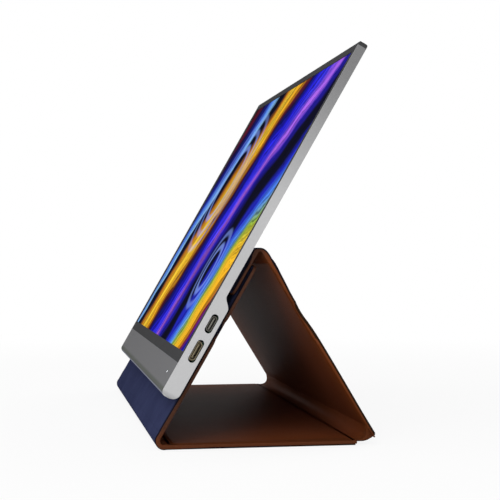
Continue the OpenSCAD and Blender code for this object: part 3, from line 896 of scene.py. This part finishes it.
FINISHES: dict[str, Finish] = {
    "cover_leather": Leather(),
    "cover_lining": Lining(),
    "fibre_board": Fibre(),
    "magnet": BrushedSteel((0.50, 0.49, 0.47), 0.35),
    "housing_metal": BlastedAluminium(),
    "bezel": Enamel((0.056, 0.056, 0.058), 0.42, specular=0.0),
    "chin": ChinPaint(),
    "screen_glass": Picture(),
    "films": Enamel((0.82, 0.83, 0.84), 0.3),
    "light_guide": Enamel((0.74, 0.78, 0.80), 0.18),
    "circuit_board": Circuit(),
    "steel": BrushedSteel(),
    "tape": Enamel((0.10, 0.10, 0.11), 0.6, 1400.0),
    "flex": Enamel((0.42, 0.20, 0.035), 0.35, 1200.0),
    "socket_shell": SocketShell((0.135, 0.128, 0.110), (0.20, 0.19, 0.165)),
    "hdmi_shell": SocketShell((0.225, 0.185, 0.115), (0.20, 0.165, 0.100)),
    "socket_plastic": Enamel((0.085, 0.078, 0.062), 0.4),
    "lens": Lamp(),
    "keys": Enamel((0.44, 0.44, 0.45), 0.34, 4200.0, 0.8),
}


# ---- the cover ----


@dataclass(frozen=True)
class FoldShape:
    """How a fold lies.

    Attributes:
        drawn_in: How far its ends lie inside the panels' side edges.
        fillet: The radius inside it.
        nap: How thick its lining is.
        outer: Its outer line, in mm from its axis. Without one it is round outside.
        inner: Its inner line, in mm from its axis. Without one it is round inside.
    """

    drawn_in: float
    fillet: float
    nap: float
    outer: Profile = ()
    inner: Profile = ()


class Fold(Enum):
    """The cover's three folds."""

    FRONT = FoldShape(0.25 * MM, 2.3 * MM, 0.4 * MM)
    # The rear fold is a soft strip that lies a little inside the stiff pads
    REAR = FoldShape(
        3.0 * MM, 4.9 * MM, 0.3 * MM,
        (
            (-16.0, -1.3), (-9.5, -1.25), (-7.7, -1.22), (-6.6, -1.22), (-5.4, -1.15), (-4.3, -0.88),
            (-3.1, -0.5), (-2.0, 0.1), (-0.85, 0.68), (-0.25, 1.3), (-0.2, 2.3), (-0.8, 4.0), (-3.1, 8.2),
        ),
        (
            (-16.0, -0.4), (-10.5, -0.4), (-8.5, -0.32), (-7.0, -0.02), (-5.8, 0.52), (-4.9, 1.3),
            (-4.35, 2.2), (-4.05, 3.3), (-4.0, 4.6), (-4.2, 6.2), (-4.55, 7.9), (-5.1, 9.2),
        ),
    )
    # The top fold is loose and bulges against the monitor's back
    TOP = FoldShape(
        0.6 * MM, 1.2 * MM, 0.8 * MM,
        (
            (8.56, -8.25), (6.95, -5.14), (6.06, -3.34), (5.5, -2.35), (4.45, -0.85), (3.3, 0.32),
            (2.2, 1.1), (1.06, 1.5), (-0.07, 1.7), (-1.2, 1.68), (-2.3, 1.55), (-3.2, 1.2), (-3.8, 0.7),
            (-4.2, 0.0), (-4.75, -1.1), (-5.25, -2.3), (-5.5, -3.4), (-5.75, -4.3), (-8.0, -8.66),
        ),
    )


@dataclass(frozen=True)
class Make:
    """How one panel is made.

    Attributes:
        nap: How much of its edge's thickness the lining takes at places along the panel, in mm.
        lip_in: How far inside its side edges the lining ends at its crease.
        rim: How much thinner its side rims are than its pads at places along the panel, in mm.
        relief: How far its lining side rises at places along the panel, in mm.
        square: Whether its low and its high end have square corners.
    """

    nap: Profile
    lip_in: float
    rim: Profile
    relief: Profile = ()
    square: tuple[bool, bool] = (False, False)


class Panel(Enum):
    """The cover's four panels."""

    BASE = Make(((8.0, 0.45), (30.0, 0.9)), 3.0 * MM, ((0.0, 0.1), (200.0, 0.1)), square=(False, True))
    REST = Make(
        ((8.0, 0.45), (30.0, 1.1)), 1.4 * MM, ((8.0, 0.05), (30.0, 0.7)),
        ((66.0, 0.0), (67.5, -0.45), (69.5, -0.95), (71.5, -1.1), (73.0, -0.95), (75.0, -0.45), (76.5, 0.0)),
    )
    PROP = Make(
        ((0.0, 1.6), (200.0, 1.6)), 3.0 * MM, ((98.0, 0.8), (114.0, 0.1)),
        (
            (0.0, -0.42), (12.0, -0.42), (20.0, -0.36), (30.0, -0.2), (45.0, 0.0), (58.0, 0.1),
            (64.0, 0.08), (68.0, 0.0), (72.0, -0.16), (76.0, -0.45), (79.0, -0.76), (82.0, -0.94),
            (85.0, -0.94), (88.0, -0.68), (89.6, -0.43), (92.0, -0.42), (95.5, -0.28), (99.0, 0.0),
            (103.0, 0.3), (107.0, 0.54), (111.0, 0.72), (114.0, 0.72), (117.0, 0.6), (120.0, 0.42),
        ),
        (True, False),
    )
    FLAP = Make(((0.0, 1.2), (200.0, 1.2)), 3.0 * MM, ((0.0, 0.5), (200.0, 0.5)))


@dataclass(frozen=True)
class Sheet:
    """A sheet's outline: wide and round-cornered over its pads, narrower where a web joins them."""

    spans: tuple[Pair, ...]
    half: float
    narrow: float
    corner: float
    square: tuple[bool, bool]

    def outline(self) -> list[Pair]:
        """Draws the outline.

        Returns:
            Its points (x, y) in order.
        """
        side: list[Pair] = []
        last = len(self.spans) - 1
        for i, (low, high) in enumerate(self.spans):
            side += self._turn(low, -1, i > 0, i == 0 and self.square[0])
            side += self._turn(high, 1, i < last, i == last and self.square[1])
        return side + [(-x, y) for x, y in reversed(side)]

    def _turn(self, level: float, way: int, webbed: bool, square: bool) -> list[Pair]:
        """Draws a pad's corner, which stops at the web's edge where there is a web.

        Args:
            level: Where the pad ends along the panel.
            way: 1 at its high end, -1 at its low end.
            webbed: Whether a web joins it there.
            square: Whether the corner is square.

        Returns:
            The corner's points (x, y).
        """
        if square:
            return [(self.half, level)]
        centre = self.half - self.corner
        stop = min(max((self.narrow - centre) / self.corner, -1.0), 1.0)
        sweep = math.acos(stop) if webbed else math.pi / 2
        turns = [sweep * i / CORNER_STEPS for i in range(CORNER_STEPS + 1)]
        if way < 0:
            turns = [-a for a in reversed(turns)]
        middle = level - way * self.corner
        return [(centre + self.corner * math.cos(a), middle + self.corner * math.sin(a)) for a in turns]


@dataclass
class Cover:
    """The folding cover, made of stiff leather pads with soft folds and creases between them.

    Attributes:
        materials: The finishes by name.
        rim_in: How far a pad reaches past its board.
        corner: The radius of a pad's corners.
        hem_low: How far the hem lies below a pad's face.
        lining_in: How far the lining stays inside the leather's outline.
        rim: How wide the lining's thin rim is.
        slope: How wide the slope inside that rim is.
        web_in: How far a crease's sides are drawn in.
        hem: The steps of the pressed hem, as widths and rises in mm.
        leather_edge: How far the leather's edges are rounded.
        lining_edge: How far the lining's and the strips' edges are rounded.
        seam: How far the lining dips into the leather.
        pressed: The share of a rise that shows on the leather side.
        dive: How much deeper a fold's strip lies under the pads.
        seat: How far a strip lies below the pads' faces.
        strip_gap: The gap between a strip's lining and its leather.
        lining_short: How much shorter a strip's lining is at each side.
        strip_start: The least distance from a fold's round to a strip's straight run.
        tuck: How far a strip reaches past a pad's corner.
        half: Half the cover's width.
        top: The pads' thickness, which is read from the frame.
    """

    materials: dict[str, bpy.types.Material]
    rim_in: float = 3.6 * MM
    corner: float = 5.5 * MM
    hem_low: float = 0.4 * MM
    lining_in: float = 0.8 * MM
    rim: float = 2.0 * MM
    slope: float = 0.8 * MM
    web_in: float = 3.0 * MM
    hem: tuple[Pair, ...] = ((2.1, 0.0), (0.35, -0.16), (0.35, 0.16), (0.9, 0.4), (0.8, 0.0))
    leather_edge: float = 0.5 * MM
    lining_edge: float = 0.16 * MM
    seam: float = 0.05 * MM
    pressed: float = 0.45
    dive: float = 0.12 * MM
    seat: float = 0.02 * MM
    strip_gap: float = 0.03 * MM
    lining_short: float = 0.2 * MM
    strip_start: float = 0.3 * MM
    tuck: float = 1.0 * MM
    half: float = COVER_HALF
    top: float = 0.0

    def build(self) -> None:
        """Builds every piece of the cover."""
        self.top = BASE.extent("base_lining")[1].z
        spans: dict[str, Pair] = {}
        for board, place in {
            "base_board": BASE, "rest_lower_board": REST, "rest_upper_board": REST,
            "prop_lower_board": PROP, "prop_upper_board": PROP, "flap_board": FLAP,
        }.items():
            low, high = place.extent(board)
            spans[board] = (low.y - self.rim_in, high.y + self.rim_in)
        base, flap = spans["base_board"], spans["flap_board"]
        rest = spans["rest_lower_board"], spans["rest_upper_board"]
        prop = spans["prop_lower_board"], spans["prop_upper_board"]
        self._panel("base", "base_panel", BASE, (base,), Panel.BASE)
        self._panel("rest", "rest_panel", REST, rest, Panel.REST)
        self._panel("prop", "prop_panel", PROP, prop, Panel.PROP)
        self._panel("flap", "tuck_flap", FLAP, (flap,), Panel.FLAP)
        pitch, reach = (REAR - FRONT).length, (TOP - REAR).length
        rear = Place(REAR, -BASE.along, BASE.out)
        top = Place(TOP, -PROP.along, PROP.out)
        front_gaps = base[0], rest[0][0]
        rear_gaps = pitch - base[1], prop[0][0]
        top_gaps = reach - prop[1][1], flap[0]
        self._fold("front_fold", Fold.FRONT, (BASE, REST), front_gaps)
        self._fold("rear_fold", Fold.REAR, (rear, PROP), rear_gaps)
        self._fold("top_fold", Fold.TOP, (top, FLAP), top_gaps)

    def _finish(self, piece: Workpiece, slot: str, body: Optional[str], nodes: Sequence[str]) -> None:
        """Dresses a piece and joins it to the frame.

        Args:
            piece: The piece, in the row frame.
            slot: The record's material slot.
            body: The body that it rides on, or None, which leaves it unattached.
            nodes: The CAD nodes that it stands for.
        """
        piece.dress(self.materials[slot])
        if body:
            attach(piece.obj, body)
        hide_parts(*nodes)
        log.info("%s: %d faces", piece.obj.name, len(piece.obj.data.polygons))

    def _panel(self, name: str, body: str, place: Place, spans: tuple[Pair, ...], panel: Panel) -> None:
        """Builds a panel's leather and its lining.

        Args:
            name: The panel's name.
            body: The body that it rides on.
            place: The panel's own frame.
            spans: From where to where each pad runs along it.
            panel: How it is made.
        """
        make: Make = panel.value
        inset = self.lining_in
        skin = Sheet(spans, self.half, self.half - self.web_in, self.corner, make.square)
        lows = [low + inset * (i == 0) for i, (low, _) in enumerate(spans)]
        highs = [high - inset * (i == len(spans) - 1) for i, (_, high) in enumerate(spans)]
        nap = Sheet(
            tuple(zip(lows, highs)),
            self.half - inset, self.half - make.lip_in, self.corner - inset, make.square,
        )
        leather = self._leather(f"{name}_leather_pad", skin, make)
        lining = self._lining(f"{name}_lining_sheet", nap, make)
        for piece, slot in ((leather, "leather"), (lining, "lining")):
            piece.place(place)
            self._finish(piece, f"cover_{slot}", body, [f"{name}_{slot}"])

    def _leather(self, name: str, sheet: Sheet, make: Make) -> Workpiece:
        """Models a panel's leather with its pressed hem and turned edge.

        Args:
            name: The piece's name.
            sheet: Its outline.
            make: How its panel is made.

        Returns:
            The piece, in the panel's frame.
        """
        outline = [(x, y, self.hem_low) for x, y in sheet.outline()]
        piece = Workpiece.prism(name, outline, (0, 0, self.top - self.hem_low))
        with piece.editing():
            piece.select_faces(lambda f: f.normal.z < -0.9)
            for width, rise in self.hem:
                bpy.ops.mesh.inset(thickness=width * MM, depth=rise * MM)
            piece.cut(Y, [y * MM for y, _ in make.nap])
        for vert in piece.obj.data.vertices:
            if vert.co.z > self.top / 2:
                vert.co.z = self.top - read(make.nap, vert.co.y / MM) * MM
        self._press(piece, make)
        piece.soften(self.leather_edge, 4, 50.0)
        piece.smooth(40.0)
        return piece

    def _lining(self, name: str, sheet: Sheet, make: Make) -> Workpiece:
        """Models a panel's lining, which lies lower along its rim and sinks between its pads.

        Args:
            name: The piece's name.
            sheet: Its outline.
            make: How its panel is made.

        Returns:
            The piece, in the panel's frame.
        """
        outline = [(x, y, 0.0) for x, y in sheet.outline()]
        piece = Workpiece.prism(name, outline, (0, 0, self.top))
        outer = sheet.half - self.rim
        inner = outer - self.slope
        with piece.editing():
            piece.cut(X, (-outer, -inner, inner, outer))
            piece.cut(Y, [y * MM for y, _ in (*make.rim, *make.nap)])
        for vert in piece.obj.data.vertices:
            if vert.co.z < self.top / 2:
                vert.co.z = self.top - read(make.nap, vert.co.y / MM) * MM - self.seam
            else:
                share = min(max((abs(vert.co.x) - inner) / self.slope, 0.0), 1.0)
                vert.co.z -= share * read(make.rim, vert.co.y / MM) * MM
        self._press(piece, make)
        piece.soften(self.lining_edge, 2, 55.0)
        piece.smooth(40.0)
        return piece

    def _press(self, piece: Workpiece, make: Make) -> None:
        """Presses a panel's relief into its lining side, and gives its leather side a part of what rises.

        Args:
            piece: The leather or the lining.
            make: How its panel is made.
        """
        if not make.relief:
            return
        with piece.editing():
            piece.cut(Y, [y * MM for y, _ in make.relief])
        for vert in piece.obj.data.vertices:
            rise = read(make.relief, vert.co.y / MM) * MM
            vert.co.z += rise if vert.co.z > self.top * 0.4 else max(rise, 0.0) * self.pressed

    def _fold(
        self, name: str, fold: Fold, places: tuple[Place, Place], gaps: Pair,
    ) -> None:
        """Builds a soft fold between two panels.

        Args:
            name: The fold's name.
            fold: Its shape.
            places: The two panels' frames, with y leading away from this fold.
            gaps: How far from the fold each panel's pad starts.
        """
        shape: FoldShape = fold.value
        radius = shape.fillet + self.top - self.hem_low
        half = self.half - shape.drawn_in
        if shape.inner:
            inner = self._inward(shape.inner, places[0].origin, 0.0)
        else:
            inner = self._round(places, gaps, radius, self.top - self.hem_low, 0.0)
        levels = []
        for sunk in (self.seat, shape.nap, shape.nap + self.strip_gap):
            if shape.outer:
                levels.append(self._inward(shape.outer, places[0].origin, sunk))
            else:
                levels.append(self._round(places, gaps, radius, sunk, self.dive))
        for part, outer, under, extra in (
            ("leather", levels[2], inner, 0.0), ("lining", levels[0], levels[1], self.lining_short),
        ):
            width = half - extra
            outline = [(-width, y, z) for y, z in (*outer, *reversed(under))]
            strip = Workpiece.prism(f"{name}_{part}_strip", outline, (2 * width, 0, 0))
            strip.soften(self.lining_edge, 2, 60.0)
            strip.smooth(50.0)
            self._finish(strip, f"cover_{part}", None, [f"{name}_{part}"])
            start, end = (place.origin + place.out * self.top for place in places)
            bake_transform(strip.obj)

    def _round(
        self, places: tuple[Place, Place], gaps: Pair, radius: float, sunk: float, dive: float,
    ) -> list[Pair]:
        """Draws a line that rounds a fold's corner.

        Args:
            places: The two panels' frames.
            gaps: How far from the fold each panel's pad starts.
            radius: The fold's outer radius.
            sunk: How far below that radius the line lies.
            dive: How much deeper it lies where it runs under each pad.

        Returns:
            The line's points (y, z) in the row frame.
        """
        first, second = places
        half = first.along.angle(second.along) / 2
        inward = (first.along + second.along).normalized()
        centre = first.origin + inward * ((radius - self.top) / math.sin(half))
        foot = (radius - self.top) / math.tan(half)
        ends = []
        for place, gap in zip(places, gaps):
            start = max(gap, foot + self.strip_start)
            out = place.out * (self.top - sunk - dive)
            runs = (self.corner + self.tuck, 0.0)
            ends.append([place.origin + place.along * (start + run) + out for run in runs])
        a = math.atan2(first.out.z, first.out.y)
        b = math.atan2(second.out.z, second.out.y)
        sweep = (b - a + math.pi) % (2 * math.pi) - math.pi
        turns = [a + sweep * i / ARC_STEPS for i in range(ARC_STEPS + 1)]
        arc = [centre + Vector((0, math.cos(t), math.sin(t))) * (radius - sunk) for t in turns]
        return [(p.y, p.z) for p in (*ends[0], *arc, *reversed(ends[1]))]

    @staticmethod
    def _inward(outer: Profile, origin: Vector, sunk: float) -> list[Pair]:
        """Draws a line that lies a little inside a fold's outer line.

        Args:
            outer: The outer line, in mm from the fold's axis.
            origin: The fold's axis.
            sunk: How far inside it the new line lies.

        Returns:
            The line's points (y, z) in the row frame.
        """
        course = []
        for i, (y, z) in enumerate(outer):
            before, after = outer[max(i - 1, 0)], outer[min(i + 1, len(outer) - 1)]
            along = Vector((after[0] - before[0], after[1] - before[1])).normalized()
            course.append((origin.y + y * MM - along.y * sunk, origin.z + z * MM + along.x * sunk))
        return course


# ---- the CAD nodes ----


@dataclass
class CadPieces:
    """The CAD nodes, which keep their meshes and take their finishes."""

    materials: dict[str, bpy.types.Material]

    def build(self) -> None:
        """Dresses every CAD node by its material slot."""
        for name, node in frame["nodes"].items():
            slot = node.data.materials[0].name.split(".")[0]
            finish = "hdmi_shell" if name == "mini_hdmi_socket" else slot
            for holder in node.material_slots:
                holder.material = self.materials[finish]
            log.info("%s takes %s", name, slot)


# ---- camera, light and floor ----


@dataclass
class Studio:
    """The camera, the lamps, the world and the floor."""

    eye: Vector = field(default_factory=lambda: Vector((0.968092, -0.130694, 0.110148)))
    forward: Vector = field(default_factory=lambda: Vector((-0.98848474, 0.15132052, -0.00014746)))
    up: Vector = field(default_factory=lambda: Vector((0.00058158, 0.00477354, 0.99998844)))
    lens: float = 103.8816
    sensor: float = 36.0
    target: tuple[float, float, float] = (0.0, 0.0, 0.1)
    grey_light: float = 0.45
    white: float = 1.0
    floor_radius: float = 9.0
    floor_drop: float = 0.0002

    def build(self) -> None:
        """Builds all of it."""
        self._camera()
        self._world()
        self._floor()
        # A key above the camera, a low one into the fold stand, then the screen's side and the back
        self._lamp("key", (1.1, -0.7, 1.5), 1.2, 12.0)
        self._lamp("low", (1.15, -0.5, 0.20), 0.7, 4.6)
        self._lamp("front", (-0.2, -1.8, 0.9), 1.2, 8.0)
        self._lamp("back", (-0.9, 1.2, 1.3), 1.0, 7.0)

    def _camera(self) -> None:
        """Places the camera."""
        data = bpy.data.cameras.new("camera")
        data.lens = self.lens
        data.sensor_width = self.sensor
        data.clip_start = 0.01
        camera = bpy.data.objects.new("camera", data)
        bpy.context.scene.collection.objects.link(camera)
        right = self.forward.cross(self.up).normalized()
        up = right.cross(self.forward)
        turn = Matrix((right, up, -self.forward)).transposed()
        camera.matrix_world = Matrix.Translation(self.eye) @ turn.to_4x4()
        bpy.context.scene.camera = camera

    def _lamp(self, name: str, place: Sequence[float], size: float, power: float) -> None:
        """Adds a soft lamp that faces the object.

        Args:
            name: The lamp's name.
            place: Where it stands.
            size: How wide it is.
            power: Its power in watts.
        """
        data = bpy.data.lights.new(name, "AREA")
        data.energy = power
        data.size = size
        lamp = bpy.data.objects.new(name, data)
        lamp.location = place
        lamp.rotation_euler = (Vector(self.target) - Vector(place)).to_track_quat("-Z", "Y").to_euler()
        bpy.context.scene.collection.objects.link(lamp)

    def _world(self) -> None:
        """Makes a world that is white to the eye and soft grey as light."""
        world = bpy.data.worlds.new("studio")
        bpy.context.scene.world = world
        graph = Graph(world)
        levels = {"Value": graph.seen(), "To Min": self.grey_light, "To Max": self.white}
        graph.set("Color", (1.0, 1.0, 1.0))
        graph.set("Strength", graph.node("ShaderNodeMapRange", None, levels))

    def _floor(self) -> None:
        """Lays a pale floor that keeps the object's shadow."""
        deselect()
        bpy.ops.mesh.primitive_circle_add(
            vertices=96, radius=self.floor_radius, fill_type="NGON", location=(0, 0, -self.floor_drop)
        )
        floor = Workpiece(bpy.context.object, "floor")
        bpy.ops.object.transform_apply(location=True, rotation=True, scale=True)
        material = bpy.data.materials.new("floor")
        graph = Graph(material)
        place = graph.position()
        far = graph.node("ShaderNodeVectorMath", {"operation": "LENGTH"}, {0: place}, "Value").ramp(0.35, 0.9)
        graph.set("Base Color", (0.86, 0.86, 0.86))
        graph.set("Roughness", 0.9)
        white = graph.node("ShaderNodeEmission", None, {"Color": (1.0, 1.0, 1.0), "Strength": 1.0})
        share = graph.seen() * (0.88 + far * 0.12)
        matt = Value(graph, graph.shader.outputs[0])
        blended = graph.node("ShaderNodeMixShader", None, {0: share, 1: matt, 2: white})
        graph.links.new(blended.socket, graph.nodes["Material Output"].inputs["Surface"])
        floor.dress(material)


def main() -> None:
    """Builds the object and its studio."""
    logging.basicConfig(level=logging.INFO, format="%(name)s: %(message)s")
    bpy.context.scene.view_settings.view_transform = "Standard"
    Studio().build()
    materials = {name: finish.build(name) for name, finish in FINISHES.items()}
    CadPieces(materials).build()
    Cover(materials).build()


if __name__ == "__main__":
    main()
